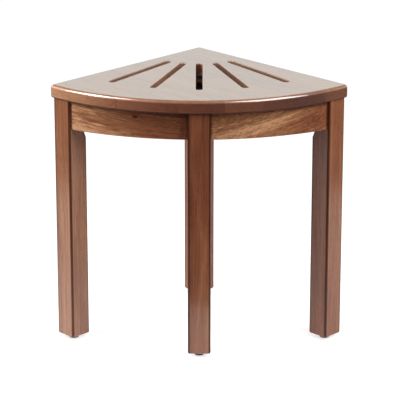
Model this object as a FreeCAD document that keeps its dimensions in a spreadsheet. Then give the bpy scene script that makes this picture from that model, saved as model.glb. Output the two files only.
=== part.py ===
import FreeCAD, Part
import math
import os
import Sketcher

# A quarter-round corner stool for a shower: a slotted wooden seat on two curved aprons, two straight
# rails and four square legs. Corner blocks and hanger bolts hold the legs, and each leg stands on a
# levelling foot. Millimetres and degrees, +Z up, the arc of the seat towards -Y and its square corner
# towards +Y. The origin is on the floor, under the middle of the seat's box.
DIMENSIONS = {
    # seat panel
    "seat_height": 470,
    "seat_radius": 368,
    "seat_thickness": 23,
    "seat_corner_radius": 8,
    "seat_top_round": 6,
    "seat_lower_round": 3,
    # drain slots, which fan out from one point in front of the square corner
    "slot_width": 11.5,
    "slot_fan_setback": 32,
    "slot_inner_radius": 90,
    "slot_outer_radius": 263,
    "slot_pitch_angle": 18,
    "slot_edge_round": 1.5,
    # legs
    "leg_side": 40,
    "leg_inset": 5,
    "front_leg_inset": 6,
    "leg_edge_round": 3,
    "leg_foot_round": 4,
    # flat on a leg's inner corner, with the curve where the cutter leaves the wood
    "relief_above_rail": 9,
    "relief_runout_radius": 66,
    # straight rails and curved aprons
    "rail_height": 52,
    "rail_thickness": 18,
    "rail_inset": 4,
    "rail_edge_round": 2,
    "apron_end_inset": 4,
    "apron_front_inset": 16,
    # blocks behind the legs
    "block_height": 44,
    "block_thickness": 20,
    "block_gap": 1.5,
    "block_seat_gap": 0.2,
    "brace_half_width": 55,
    "brace_leg_gap": 1.5,
    # hanger bolts, washers and nuts
    "bolt_radius": 4,
    "bolt_leg_depth": 30,
    "bolt_tip_length": 6,
    "bolt_end_proud": 4,
    "bolt_end_chamfer": 0.8,
    "bolt_spacing": 22,
    "bolt_hole_clearance": 0.3,
    "bolt_grip_clearance": 0.1,
    "washer_radius": 8,
    "washer_thickness": 1.6,
    "nut_circumradius": 7.5,
    "nut_height": 6.5,
    # wood screws
    "screw_radius": 2,
    "screw_tip_length": 5,
    "screw_head_radius": 4,
    "screw_head_height": 2.6,
    "screw_head_edge": 1,
    "screw_hole_clearance": 0.1,
    "block_screw_length": 28,
    "rail_screw_offset": 24,
    "apron_screw_offset": 19,
    "brace_screw_offset": 38,
    "seat_screw_offset": 12,
    "seat_screw_bite": 13,
    "seat_screw_bore_depth": 14,
    "seat_screw_bore_clearance": 0.6,
    # levelling feet
    "foot_height": 7,
    "pad_radius": 9,
    "pad_gap": 0.4,
    "pad_floor": 1.9,
    "pad_lower_chamfer": 0.8,
    "pad_upper_chamfer": 0.6,
    "stem_radius": 4,
    "stem_reach": 26,
    "stem_end_chamfer": 0.8,
    "stem_flange_radius": 5.6,
    "stem_flange_thickness": 2,
    "stem_bore_depth": 32,
    "stem_bore_clearance": 0.6,
    "running_clearance": 0.05,
    "swivel_clearance": 0.1,
    "insert_radius": 6,
    "insert_length": 20,
    "insert_flange_radius": 7.6,
    "insert_flange_thickness": 1.2,
    "insert_clearance": 0.1,
    # how far a cutting solid passes the face that it cuts
    "cut_overrun": 5,
}
SLOT_COUNT = 5
HEX_SIDES = 6
QUARTER_TURN = 90
DIAGONAL = math.sqrt(0.5)
TOLERANCE = 1e-4

UP = FreeCAD.Vector(0, 0, 1)
ORIGIN = FreeCAD.Vector(0, 0, 0)

document = FreeCAD.newDocument("corner_shower_stool")
sheet = document.addObject("Spreadsheet::Sheet", "sizes")
for row, (alias, number) in enumerate(DIMENSIONS.items(), start=1):
    sheet.set(f"A{row}", alias)
    sheet.set(f"B{row}", str(number))
    sheet.setAlias(f"B{row}", alias)
document.recompute()


class Size:
    """A length and the sheet formula that gives it, so that every sum stays bound to the sheet."""

    def __init__(self, value, formula):
        self.value = value
        self.formula = formula

    def __add__(self, other):
        other = as_size(other)
        return Size(self.value + other.value, f"({self.formula} + {other.formula})")

    def __sub__(self, other):
        other = as_size(other)
        return Size(self.value - other.value, f"({self.formula} - {other.formula})")

    def __mul__(self, other):
        other = as_size(other)
        return Size(self.value * other.value, f"({self.formula} * {other.formula})")

    def __truediv__(self, other):
        other = as_size(other)
        return Size(self.value / other.value, f"({self.formula} / {other.formula})")

    def __neg__(self):
        return Size(-self.value, f"(-1 * {self.formula})")


def as_size(number):
    """Wrap a plain number, and leave a Size as it is."""
    return number if isinstance(number, Size) else Size(float(number), f"({number!r})")


def root(size):
    """The square root of a Size."""
    return Size(math.sqrt(size.value), f"sqrt({size.formula})")


def size_of(alias):
    """The Size of one cell of the sheet."""
    return Size(float(sheet.get(alias)), f"sizes.{alias}")


dim = {alias: size_of(alias) for alias in DIMENSIONS}
ZERO = as_size(0)


# The few values that most pieces share
seat_bottom = dim["seat_height"] - dim["seat_thickness"]
leg_length = seat_bottom - dim["foot_height"]
leg_half = dim["leg_side"] / 2
rail_bottom = seat_bottom - dim["rail_height"]
block_bottom = seat_bottom - dim["block_height"]
block_middle = seat_bottom - dim["block_height"] / 2
block_near = leg_half + dim["block_gap"]
block_far = block_near + dim["block_thickness"]
corner_loss = dim["seat_corner_radius"] * (math.sqrt(2) - 1)
apex_y = (dim["seat_radius"] + corner_loss) / 2


def bind(item, **sizes):
    """Tie properties of an item to their formulas."""
    for name, size in sizes.items():
        item.setExpression(name, as_size(size).formula)


def place(item, position, rotation=None):
    """Turn an item, and tie its place to three formulas."""
    item.Placement = FreeCAD.Placement(ORIGIN, rotation or FreeCAD.Rotation())
    for axis, size in zip("xyz", position):
        item.setExpression(f"Placement.Base.{axis}", as_size(size).formula)


def along(direction):
    """The rotation that turns +Z into a direction."""
    return FreeCAD.Rotation(UP, FreeCAD.Vector(*direction))


def new_body(label):
    body = document.addObject("PartDesign::Body", label)
    body.Label = label
    return body


def new_sketch(body, role, offset=None):
    """A sketch on one of the body's own planes, raised along the plane's normal by the offset."""
    sketch = body.newObject("Sketcher::SketchObject", "sketch")
    plane = next(item for item in body.Origin.OriginFeatures if item.Role == role)
    sketch.AttachmentSupport = [(plane, "")]
    sketch.MapMode = "FlatFace"
    if offset is not None:
        sketch.setExpression("AttachmentOffset.Base.z", offset.formula)
    return sketch


def pin(sketch, edge, end, x, y):
    """Hold one end of an edge at two formulas, or on the axis where one of them is zero."""
    for kind, size, axis in (("DistanceX", x, -2), ("DistanceY", y, -1)):
        if size.value == 0:
            sketch.addConstraint(Sketcher.Constraint("PointOnObject", edge, end, axis))
        else:
            index = sketch.addConstraint(Sketcher.Constraint(kind, -1, 1, edge, end, size.value))
            sketch.setExpression(f"Constraints[{index}]", size.formula)


def arc_middle(start, end, radius, side):
    """The middle of the minor arc from start to end that bulges to the left (1) or right (-1)."""
    chord = end - start
    half = chord.Length / 2
    rise = radius - math.sqrt(radius * radius - half * half)
    left = FreeCAD.Vector(-chord.y, chord.x, 0).normalize()
    return start + chord / 2 + left * (rise * side)


def outline(sketch, corners, arcs=None):
    """Draw a closed outline through pinned corners; arcs gives (radius, side) for the edges that curve."""
    arcs = arcs or {}
    points = [FreeCAD.Vector(x.value, y.value, 0) for x, y in corners]
    ends = []
    for index, start in enumerate(points):
        end = points[(index + 1) % len(points)]
        if index in arcs:
            radius, side = arcs[index]
            middle = arc_middle(start, end, radius.value, side)
            edge = sketch.addGeometry(Part.Arc(start, middle, end))
            turns_left = (middle - start).cross(end - start).z > 0
            ends.append((edge, 1, 2) if turns_left else (edge, 2, 1))
            bound = sketch.addConstraint(Sketcher.Constraint("Radius", edge, radius.value))
            sketch.setExpression(f"Constraints[{bound}]", radius.formula)
        else:
            edge = sketch.addGeometry(Part.LineSegment(start, end))
            ends.append((edge, 1, 2))
    for index, (edge, first, last) in enumerate(ends):
        next_edge, next_first, _ = ends[(index + 1) % len(ends)]
        sketch.addConstraint(Sketcher.Constraint("Coincident", edge, last, next_edge, next_first))
        pin(sketch, edge, first, *corners[index])


def pad(body, sketch, height):
    feature = body.newObject("PartDesign::Pad", "pad")
    feature.Profile = sketch
    bind(feature, Length=height)
    document.recompute()
    return feature


def pocket(body, sketch, depth, side_type):
    """Cut a sketch out of the body, and make sure that wood was taken away."""
    before = body.Shape.Volume
    feature = body.newObject("PartDesign::Pocket", "pocket")
    feature.Profile = sketch
    feature.SideType = side_type
    feature.Reversed = side_type == "One side"
    bind(feature, Length=depth)
    document.recompute()
    if body.Shape.Volume >= before - TOLERANCE:
        raise RuntimeError(f"{body.Label}: a pocket cuts nothing")
    return feature


def drill(body, radius, depth, start, direction):
    """Bore a round hole from a start point along a direction, and make sure that wood was taken away."""
    before = body.Shape.Volume
    hole = body.newObject("PartDesign::SubtractiveCylinder", "hole")
    bind(hole, Radius=radius, Height=depth)
    place(hole, start, along(direction))
    document.recompute()
    if body.Shape.Volume >= before - TOLERANCE:
        raise RuntimeError(f"{body.Label}: a hole cuts nothing")


def soften(body, radius, chosen):
    """Round every edge of the body's last feature that the test chooses."""
    base = body.Tip
    names = [f"Edge{n}" for n, edge in enumerate(base.Shape.Edges, start=1) if chosen(edge)]
    feature = body.newObject("PartDesign::Fillet", "round")
    feature.Base = (base, names)
    bind(feature, Radius=radius)
    document.recompute()


def is_upright(edge):
    box = edge.BoundBox
    return box.XLength < TOLERANCE and box.YLength < TOLERANCE


def is_level_at(height):
    """A test for edges that lie flat at one height of the body."""
    def test(edge):
        box = edge.BoundBox
        return abs(box.ZMin - height.value) < TOLERANCE and abs(box.ZMax - height.value) < TOLERANCE
    return test


def turned(label, profile, position=(ZERO, ZERO, ZERO)):
    """A body turned about its Z axis from a profile of radius and height."""
    body = new_body(label)
    sketch = new_sketch(body, "XZ_Plane")
    outline(sketch, profile)
    feature = body.newObject("PartDesign::Revolution", "turn")
    feature.Profile = sketch
    feature.ReferenceAxis = (sketch, ["V_Axis"])
    place(body, position)
    document.recompute()
    return body


def group(label, master, places):
    """One node that holds the same fastener at several places, each a position and a direction."""
    links = []
    for position, direction in places:
        link = document.addObject("App::Link", f"{label}_copy")
        link.LinkedObject = master
        place(link, position, along(direction))
        links.append(link)
    compound = document.addObject("Part::Compound", label)
    compound.Label = label
    compound.Links = links
    document.recompute()
    return compound


class Corner:
    """A leg's place under the seat: its axis from the square corner, and the way its inner side looks."""

    def __init__(self, name, x, y, inward):
        self.name = name
        self.x = x
        self.y = y
        self.inward = inward

    def under_seat(self, inwards, across):
        """A point from the square corner, that far inwards of the leg's axis and across it."""
        ux, uy = self.inward
        return self.x + inwards * ux - across * uy, self.y + inwards * uy + across * ux

    def on_floor_plan(self, inwards, across):
        """The same point in the stool's own frame."""
        x, y = self.under_seat(inwards, across)
        return x, y + apex_y

    def rotation(self):
        """The rotation about Z that turns +X inwards."""
        ux, uy = self.inward
        return FreeCAD.Rotation(UP, math.degrees(math.atan2(uy, ux)))


side_leg_x = (dim["seat_radius"] - dim["leg_inset"] * 2 - dim["leg_side"]) * DIAGONAL
side_leg_y = -dim["seat_radius"] * DIAGONAL
back_leg_y = -(dim["leg_inset"] + leg_half) * math.sqrt(2)
front_leg_y = -(dim["seat_radius"] - dim["front_leg_inset"] - leg_half)
LEFT = Corner("left", -side_leg_x, side_leg_y, (1, 0))
RIGHT = Corner("right", side_leg_x, side_leg_y, (-1, 0))
BACK = Corner("back", ZERO, back_leg_y, (0, -1))
FRONT = Corner("front", ZERO, front_leg_y, (0, 1))
CORNERS = (LEFT, RIGHT, BACK, FRONT)


def along_edges(side, run, depth):
    """The point under the seat that is run along a straight edge from the square corner, and depth in."""
    return (run - depth) * DIAGONAL * side, -(run + depth) * DIAGONAL


# The circle that both aprons follow, from where they meet the side legs and the front leg
apron_end_run = dim["seat_radius"] - dim["leg_inset"] - dim["apron_end_inset"]
apron_end_depth = dim["leg_inset"] + dim["leg_side"]
apron_end_x, apron_end_y = along_edges(1, apron_end_run, apron_end_depth)
apron_front_y = -(dim["seat_radius"] - dim["front_leg_inset"] - dim["apron_front_inset"])
apron_far_square = apron_end_x * apron_end_x + apron_end_y * apron_end_y
apron_near_square = leg_half * leg_half + apron_front_y * apron_front_y
apron_centre_y = (apron_far_square - apron_near_square) / ((apron_end_y - apron_front_y) * 2)
apron_drop = apron_centre_y - apron_front_y
apron_outer_radius = root(leg_half * leg_half + apron_drop * apron_drop)
apron_inner_radius = apron_outer_radius - dim["rail_thickness"]

# The straight rails' inner faces, measured in from the seat's straight edges
rail_outer_depth = dim["leg_inset"] + dim["rail_inset"]
rail_inner_depth = rail_outer_depth + dim["rail_thickness"]

# Fasteners: where their heads and tips lie along a leg's inward direction
bolt_tip_inwards = leg_half - dim["bolt_leg_depth"]
bolt_end_inwards = block_far + dim["washer_thickness"] + dim["nut_height"] + dim["bolt_end_proud"]
bolt_heights = [block_middle + dim["bolt_spacing"] * half for half in (-0.5, 0.5)]
screw_hole_radius = dim["screw_radius"] + dim["screw_hole_clearance"]
block_screw_hole_depth = dim["block_screw_length"] + dim["screw_hole_clearance"]
seat_screw_inwards = (block_near + block_far) / 2
seat_screw_head_z = block_bottom + dim["seat_screw_bore_depth"]
seat_screw_length = dim["block_height"] - dim["seat_screw_bore_depth"] + dim["seat_screw_bite"]
SEAT_SCREW_SIDES = (-dim["seat_screw_offset"], dim["seat_screw_offset"])
# A block's screws go into the rail or apron on each side of the leg: negative offsets are clockwise
BLOCK_SCREW_SIDES = {
    LEFT: {"back_left_rail": dim["rail_screw_offset"], "front_left_apron": -dim["apron_screw_offset"]},
    RIGHT: {"back_right_rail": -dim["rail_screw_offset"], "front_right_apron": dim["apron_screw_offset"]},
    BACK: {"back_left_rail": -dim["rail_screw_offset"], "back_right_rail": dim["rail_screw_offset"]},
    FRONT: {"front_left_apron": dim["brace_screw_offset"], "front_right_apron": -dim["brace_screw_offset"]},
}


def make_seat():
    """The quarter-round panel, its five drain slots and its rounded edges."""
    seat = new_body("seat_panel")
    thickness = dim["seat_thickness"]
    tip_x, tip_y = along_edges(1, dim["seat_radius"], ZERO)
    plan = new_sketch(seat, "XY_Plane")
    outline(plan, [(ZERO, ZERO), (-tip_x, tip_y), (tip_x, tip_y)], {1: (dim["seat_radius"], -1)})
    pad(seat, plan, thickness)
    soften(seat, dim["seat_corner_radius"], is_upright)
    soften(seat, dim["seat_top_round"], is_level_at(thickness))
    soften(seat, dim["seat_lower_round"], is_level_at(ZERO))

    slot_half = dim["slot_width"] / 2
    first = dim["slot_inner_radius"] + slot_half
    last = dim["slot_outer_radius"] - slot_half
    slot = new_sketch(seat, "XY_Plane")
    half_span = dim["slot_pitch_angle"] * ((SLOT_COUNT - 1) / 2)
    slot.setExpression("AttachmentOffset.Base.y", (-dim["slot_fan_setback"]).formula)
    slot.setExpression("AttachmentOffset.Rotation.Angle", (-half_span).formula)
    corners = [(-slot_half, -first), (-slot_half, -last), (ZERO, -(last + slot_half)), (slot_half, -last),
               (slot_half, -first), (ZERO, -(first - slot_half))]
    outline(slot, corners, {edge: (slot_half, -1) for edge in (1, 2, 4, 5)})
    cut = pocket(seat, slot, thickness, "One side")
    fan = seat.newObject("PartDesign::PolarPattern", "slot_fan")
    fan.Originals = [cut]
    fan.Axis = (slot, ["N_Axis"])
    fan.Occurrences = SLOT_COUNT
    bind(fan, Angle=half_span * 2)
    seat.Tip = fan
    document.recompute()

    walls = [face for face in fan.Shape.Faces
             if face.BoundBox.ZMin < TOLERANCE and face.BoundBox.ZMax > thickness.value - TOLERANCE]
    rims = [edge for face in walls for edge in face.Edges
            if is_level_at(thickness)(edge) or is_level_at(ZERO)(edge)]
    soften(seat, dim["slot_edge_round"], lambda edge: any(edge.isSame(rim) for rim in rims))

    for corner in CORNERS:
        for across in SEAT_SCREW_SIDES:
            x, y = corner.under_seat(seat_screw_inwards, across)
            depth = dim["seat_screw_bite"] + dim["screw_hole_clearance"]
            drill(seat, screw_hole_radius, depth, (x, y, ZERO), (0, 0, 1))
    place(seat, (ZERO, apex_y, seat_bottom))
    return seat


def drill_for_block_screws(body, corners):
    """Pilot holes in a rail or an apron for the screws that come through the blocks at its ends."""
    for corner in corners:
        ux, uy = corner.inward
        x, y = corner.under_seat(block_far, BLOCK_SCREW_SIDES[corner][body.Label])
        height = block_middle - rail_bottom
        drill(body, screw_hole_radius, block_screw_hole_depth, (x, y, height), (-ux, -uy, 0))


def is_long_lower_edge(edge):
    """A test for the edges along the bottom of a rail or an apron, not those at its ends."""
    return is_level_at(ZERO)(edge) and edge.Length > dim["rail_thickness"].value * 2


def make_rail(side, label):
    """A straight rail along one straight edge, from the back leg to a side leg."""
    rail = new_body(label)
    near = dim["leg_inset"] + dim["leg_side"]
    far = dim["seat_radius"] - dim["leg_inset"] - dim["leg_side"]
    plan = new_sketch(rail, "XY_Plane")
    ends = [(near, rail_outer_depth), (far, rail_outer_depth), (far, rail_inner_depth), (near, rail_inner_depth)]
    outline(plan, [along_edges(side, run, depth) for run, depth in ends])
    pad(rail, plan, dim["rail_height"])
    soften(rail, dim["rail_edge_round"], is_long_lower_edge)
    drill_for_block_screws(rail, (BACK, LEFT if side < 0 else RIGHT))
    place(rail, (ZERO, apex_y, rail_bottom))
    return rail


def make_apron(side, label):
    """A curved apron under the arc of the seat, from a side leg to the front leg."""
    apron = new_body(label)
    centre_run = -apron_centre_y * DIAGONAL
    reach = apron_end_depth - centre_run
    inner_run = root(apron_inner_radius * apron_inner_radius - reach * reach) + centre_run
    inner_front_y = apron_centre_y - root(apron_inner_radius * apron_inner_radius - leg_half * leg_half)
    corners = [along_edges(side, apron_end_run, apron_end_depth), (leg_half * side, apron_front_y),
               (leg_half * side, inner_front_y), along_edges(side, inner_run, apron_end_depth)]
    plan = new_sketch(apron, "XY_Plane")
    outline(plan, corners, {0: (apron_outer_radius, side), 2: (apron_inner_radius, -side)})
    pad(apron, plan, dim["rail_height"])
    soften(apron, dim["rail_edge_round"], is_long_lower_edge)
    drill_for_block_screws(apron, (FRONT, LEFT if side < 0 else RIGHT))
    place(apron, (ZERO, apex_y, rail_bottom))
    return apron


def make_leg(corner):
    """A square leg: its inner corner or face holds two hanger bolts, and its lower end a foot's insert."""
    leg = new_body(f"{corner.name}_leg")
    plan = new_sketch(leg, "XY_Plane")
    if corner is FRONT:
        outline(plan, [(leg_half, leg_half), (-leg_half, leg_half), (-leg_half, -leg_half), (leg_half, -leg_half)])
    else:
        reach = dim["leg_side"] * DIAGONAL
        outline(plan, [(reach, ZERO), (ZERO, reach), (-reach, ZERO), (ZERO, -reach)])
    pad(leg, plan, leg_length)
    soften(leg, dim["leg_edge_round"], is_upright)
    soften(leg, dim["leg_foot_round"], is_level_at(ZERO))
    if corner is not FRONT:
        relief = new_sketch(leg, "XZ_Plane")
        flat_end = leg_length - dim["rail_height"] + dim["relief_above_rail"]
        clear = leg_half + dim["relief_runout_radius"]
        top = leg_length + dim["cut_overrun"]
        corners = [(leg_half, top), (leg_half, flat_end), (clear, flat_end - dim["relief_runout_radius"]),
                   (clear, top)]
        outline(relief, corners, {1: (dim["relief_runout_radius"], -1)})
        pocket(leg, relief, dim["leg_side"] * 2, "Symmetric")
    for height in bolt_heights:
        grip = dim["bolt_radius"] + dim["bolt_grip_clearance"]
        start = (leg_half + dim["cut_overrun"], ZERO, height - dim["foot_height"])
        depth = dim["bolt_leg_depth"] + dim["cut_overrun"] + dim["bolt_grip_clearance"]
        drill(leg, grip, depth, start, (-1, 0, 0))
    bores = [
        (dim["insert_flange_radius"], dim["insert_flange_thickness"], dim["insert_clearance"]),
        (dim["insert_radius"], dim["insert_length"], dim["insert_clearance"]),
        (dim["stem_radius"], dim["stem_bore_depth"], dim["stem_bore_clearance"]),
    ]
    for radius, depth, clearance in bores:
        drill(leg, radius + clearance, depth, (ZERO, ZERO, ZERO), (0, 0, 1))
    place(leg, (corner.x, corner.y + apex_y, dim["foot_height"]), corner.rotation())
    return leg


def make_hollow():
    """The space inside the rails and aprons, which the blocks fill at its corners."""
    square = document.addObject("Part::Box", "between_rails")
    bind(square, Length=dim["seat_radius"], Width=dim["seat_radius"], Height=dim["block_height"])
    corner_y = apex_y - rail_inner_depth * math.sqrt(2)
    place(square, (ZERO, corner_y, block_bottom), FreeCAD.Rotation(UP, -1.5 * QUARTER_TURN))
    disc = document.addObject("Part::Cylinder", "inside_aprons")
    bind(disc, Radius=apron_inner_radius - dim["block_seat_gap"], Height=dim["block_height"])
    place(disc, (ZERO, apex_y + apron_centre_y, block_bottom))
    hollow = document.addObject("Part::Common", "frame_hollow")
    hollow.Base = square
    hollow.Tool = disc
    return hollow


def slab(name, corner, near, far, half_width):
    """A box as high as a block, between two distances inwards of a leg's axis."""
    box = document.addObject("Part::Box", name)
    bind(box, Length=far - near, Width=half_width * 2, Height=dim["block_height"])
    x, y = corner.on_floor_plan(near, -half_width)
    place(box, (x, y, block_bottom), corner.rotation())
    return box


def hole(radius, depth, start, direction):
    """A round cutter for a block."""
    cutter = document.addObject("Part::Cylinder", "hole")
    bind(cutter, Radius=radius, Height=depth)
    place(cutter, start, along(direction))
    return cutter


def cutters_for_block(corner):
    """The holes of a block: for its hanger bolts, its screws and the screws that go up into the seat."""
    ux, uy = corner.inward
    cutters = []
    start_inwards = block_far + dim["cut_overrun"]
    for height in bolt_heights:
        start = (*corner.on_floor_plan(start_inwards, ZERO), height)
        radius = dim["bolt_radius"] + dim["bolt_hole_clearance"]
        cutters.append(hole(radius, dim["block_thickness"] + dim["cut_overrun"] * 2, start, (-ux, -uy, 0)))
    for across in BLOCK_SCREW_SIDES[corner].values():
        start = (*corner.on_floor_plan(start_inwards, across), block_middle)
        depth = block_screw_hole_depth + dim["cut_overrun"]
        cutters.append(hole(screw_hole_radius, depth, start, (-ux, -uy, 0)))
    for across in SEAT_SCREW_SIDES:
        place_x, place_y = corner.on_floor_plan(seat_screw_inwards, across)
        start = (place_x, place_y, block_bottom - dim["cut_overrun"])
        head_radius = dim["screw_head_radius"] + dim["seat_screw_bore_clearance"]
        bore_depth = dim["seat_screw_bore_depth"] + dim["cut_overrun"]
        cutters.append(hole(head_radius, bore_depth, start, (0, 0, 1)))
        cutters.append(hole(screw_hole_radius, dim["block_height"] + dim["cut_overrun"] * 2, start, (0, 0, 1)))
    return cutters


def make_block(corner, label, hollow):
    """A block that spans the frame's hollow behind a leg; the front one is cut back around its leg."""
    near = block_near if corner is not FRONT else -leg_half
    blank = document.addObject("Part::Common", f"{corner.name}_blank")
    blank.Base = slab(f"{corner.name}_slab", corner, near, block_far, dim["brace_half_width"])
    blank.Tool = hollow
    cutters = cutters_for_block(corner)
    if corner is FRONT:
        leg_room = leg_half + dim["brace_leg_gap"]
        cutters.append(slab("leg_notch", corner, near - dim["cut_overrun"], block_near, leg_room))
    tools = document.addObject("Part::MultiFuse", f"{corner.name}_cutters")
    tools.Shapes = cutters
    block = document.addObject("Part::Cut", label)
    block.Label = label
    block.Base = blank
    block.Tool = tools
    document.recompute()
    return block


def make_nut():
    """A hexagon nut with a plain bore."""
    blank = document.addObject("Part::Prism", "nut_blank")
    blank.Polygon = HEX_SIDES
    bind(blank, Circumradius=dim["nut_circumradius"], Height=dim["nut_height"])
    bore = document.addObject("Part::Cylinder", "nut_bore")
    bind(bore, Radius=dim["bolt_radius"] + dim["bolt_grip_clearance"], Height=dim["nut_height"])
    nut = document.addObject("Part::Cut", "nut")
    nut.Base = blank
    nut.Tool = bore
    document.recompute()
    return nut


def make_screw(name, length):
    """A pan-head wood screw, its head's underside at zero and its tip pointing up."""
    head = dim["screw_head_radius"]
    under_head = dim["screw_head_height"]
    edge = dim["screw_head_edge"]
    shank = dim["screw_radius"]
    profile = [(ZERO, -under_head), (head - edge, -under_head), (head, edge - under_head), (head, ZERO),
               (shank, ZERO), (shank, length - dim["screw_tip_length"]), (ZERO, length)]
    return turned(name, profile)


def make_fasteners():
    """The groups of bolts, washers, nuts and screws that hold the stool together."""
    radius = dim["bolt_radius"]
    length = bolt_end_inwards - bolt_tip_inwards
    chamfer = dim["bolt_end_chamfer"]
    bolt = turned("hanger_bolt", [(ZERO, ZERO), (radius, dim["bolt_tip_length"]), (radius, length - chamfer),
                                  (radius - chamfer, length), (ZERO, length)])
    bore = radius + dim["bolt_hole_clearance"]
    rim = dim["washer_radius"]
    thickness = dim["washer_thickness"]
    washer = turned("washer", [(bore, ZERO), (rim, ZERO), (rim, thickness), (bore, thickness)])
    nut_inwards = block_far + thickness
    on_bolts = {"hanger_bolts": (bolt, bolt_tip_inwards), "hanger_washers": (washer, block_far),
                "hanger_nuts": (make_nut(), nut_inwards)}
    groups = []
    for label, (master, inwards) in on_bolts.items():
        places = [((*corner.on_floor_plan(inwards, ZERO), height), (*corner.inward, 0))
                  for corner in CORNERS for height in bolt_heights]
        groups.append(group(label, master, places))

    into_rails = [((*corner.on_floor_plan(block_far, across), block_middle), (-corner.inward[0], -corner.inward[1], 0))
                  for corner in CORNERS for across in BLOCK_SCREW_SIDES[corner].values()]
    groups.append(group("block_screws", make_screw("block_screw", dim["block_screw_length"]), into_rails))
    into_seat = [((*corner.on_floor_plan(seat_screw_inwards, across), seat_screw_head_z), (0, 0, 1))
                 for corner in CORNERS for across in SEAT_SCREW_SIDES]
    groups.append(group("seat_screws", make_screw("seat_screw", seat_screw_length), into_seat))
    return groups


def make_foot(corner):
    """A levelling foot: the insert in the leg, the threaded stem, and the pad that turns it."""
    axis = (corner.x, corner.y + apex_y)
    stem = dim["stem_radius"]
    bore = stem + dim["running_clearance"]
    flange = dim["insert_flange_radius"]
    flange_top = dim["insert_flange_thickness"]
    barrel = dim["insert_radius"]
    length = dim["insert_length"]
    insert = turned(f"{corner.name}_foot_insert",
                    [(bore, ZERO), (flange, ZERO), (flange, flange_top), (barrel, flange_top), (barrel, length),
                     (bore, length)], (*axis, dim["foot_height"]))

    flange = dim["stem_flange_radius"]
    flange_bottom = dim["pad_floor"] + dim["swivel_clearance"]
    flange_top = flange_bottom + dim["stem_flange_thickness"]
    top = dim["foot_height"] + dim["stem_reach"]
    chamfer = dim["stem_end_chamfer"]
    thread = turned(f"{corner.name}_foot_stem",
                    [(ZERO, flange_bottom), (flange, flange_bottom), (flange, flange_top), (stem, flange_top),
                     (stem, top - chamfer), (stem - chamfer, top), (ZERO, top)], (*axis, ZERO))

    rim = dim["pad_radius"]
    socket = flange + dim["running_clearance"]
    socket_top = flange_top + dim["swivel_clearance"]
    pad_top = dim["foot_height"] - dim["pad_gap"]
    lower = dim["pad_lower_chamfer"]
    upper = dim["pad_upper_chamfer"]
    base = turned(f"{corner.name}_foot_pad",
                  [(ZERO, ZERO), (rim - lower, ZERO), (rim, lower), (rim, pad_top - upper), (rim - upper, pad_top),
                   (bore, pad_top), (bore, socket_top), (socket, socket_top), (socket, dim["pad_floor"]),
                   (ZERO, dim["pad_floor"])], (*axis, ZERO))
    return [insert, thread, base]


def check(pieces):
    """Stop if any object failed, or a piece has no sound solid."""
    document.recompute()
    for item in document.Objects:
        if "Invalid" in item.State or "Error" in item.State:
            raise RuntimeError(f"{item.Label} failed: {item.State}")
    for piece in pieces:
        shape = piece.Shape
        if shape.isNull() or not shape.isValid() or not shape.Solids:
            raise RuntimeError(f"{piece.Label} has no sound solid")


pieces = [make_seat()]
pieces += [make_apron(-1, "front_left_apron"), make_apron(1, "front_right_apron")]
pieces += [make_rail(-1, "back_left_rail"), make_rail(1, "back_right_rail")]
pieces += [make_leg(corner) for corner in CORNERS]
frame_hollow = make_hollow()
BLOCK_LABELS = {LEFT: "left_corner_block", RIGHT: "right_corner_block", BACK: "back_corner_block",
                FRONT: "front_brace_block"}
pieces += [make_block(corner, label, frame_hollow) for corner, label in BLOCK_LABELS.items()]
pieces += make_fasteners()
for foot_corner in CORNERS:
    pieces += make_foot(foot_corner)
check(pieces)

os.makedirs("parts", exist_ok=True)
for piece in pieces:
    piece.Shape.exportStep(f"parts/{piece.Label}.step")
    print(f"{piece.Label}: {len(piece.Shape.Solids)} solids, {piece.Shape.Volume:.1f} mm3")
print(f"apron circle: radius {apron_outer_radius.value:.1f}, centre {apron_centre_y.value:.1f} behind the corner")
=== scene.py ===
# %% [markdown]
# # A corner shower stool, dressed in wood
# This lesson dresses a quarter-round wooden stool that stands in the corner of a shower. Its solids
# come from a CAD model: a slotted seat, two curved aprons, two straight rails, four legs, and the
# blocks, bolts and levelling feet below. Everything stays in the CAD model's own frame, in metres,
# with the round front of the seat towards -Y. The aprons, rails, legs and blocks already have the
# right shapes, so they only get their wood. The seat panel is lofted again for its highlight, and
# the threaded hardware is made here, because the CAD model has plain rods in its place.

import math
from functools import reduce

import bmesh
import bpy
import numpy as np
from mathutils import Euler, Matrix, Vector


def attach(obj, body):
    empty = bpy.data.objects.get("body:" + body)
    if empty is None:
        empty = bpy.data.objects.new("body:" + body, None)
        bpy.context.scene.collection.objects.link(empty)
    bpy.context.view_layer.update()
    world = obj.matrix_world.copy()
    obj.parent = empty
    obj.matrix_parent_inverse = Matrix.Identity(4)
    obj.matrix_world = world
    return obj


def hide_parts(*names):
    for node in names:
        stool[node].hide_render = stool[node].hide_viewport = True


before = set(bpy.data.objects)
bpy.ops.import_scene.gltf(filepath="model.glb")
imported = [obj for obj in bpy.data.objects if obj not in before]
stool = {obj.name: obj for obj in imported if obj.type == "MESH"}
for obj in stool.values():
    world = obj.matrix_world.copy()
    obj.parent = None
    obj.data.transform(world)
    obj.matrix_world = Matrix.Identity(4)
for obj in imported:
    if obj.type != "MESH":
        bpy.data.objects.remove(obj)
scene = bpy.context.scene
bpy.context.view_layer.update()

# %% [markdown]
# ## Writing patterns as sums
# A wood grain is a sum of several noises, and drawn as boxes and cords it is hard to read. So one
# small class stands for an output of a node. Adding or multiplying two of them makes the Math node,
# and `make` makes any other node: its settings first, then the values or links of its sockets. The
# same class serves materials, the world and Geometry Nodes, because all of them are node trees.


# %% A wire between nodes
def operator(operation):
    """A Python operator that makes a Math node."""
    return lambda wire, *terms: wire.math(operation, *terms)


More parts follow.
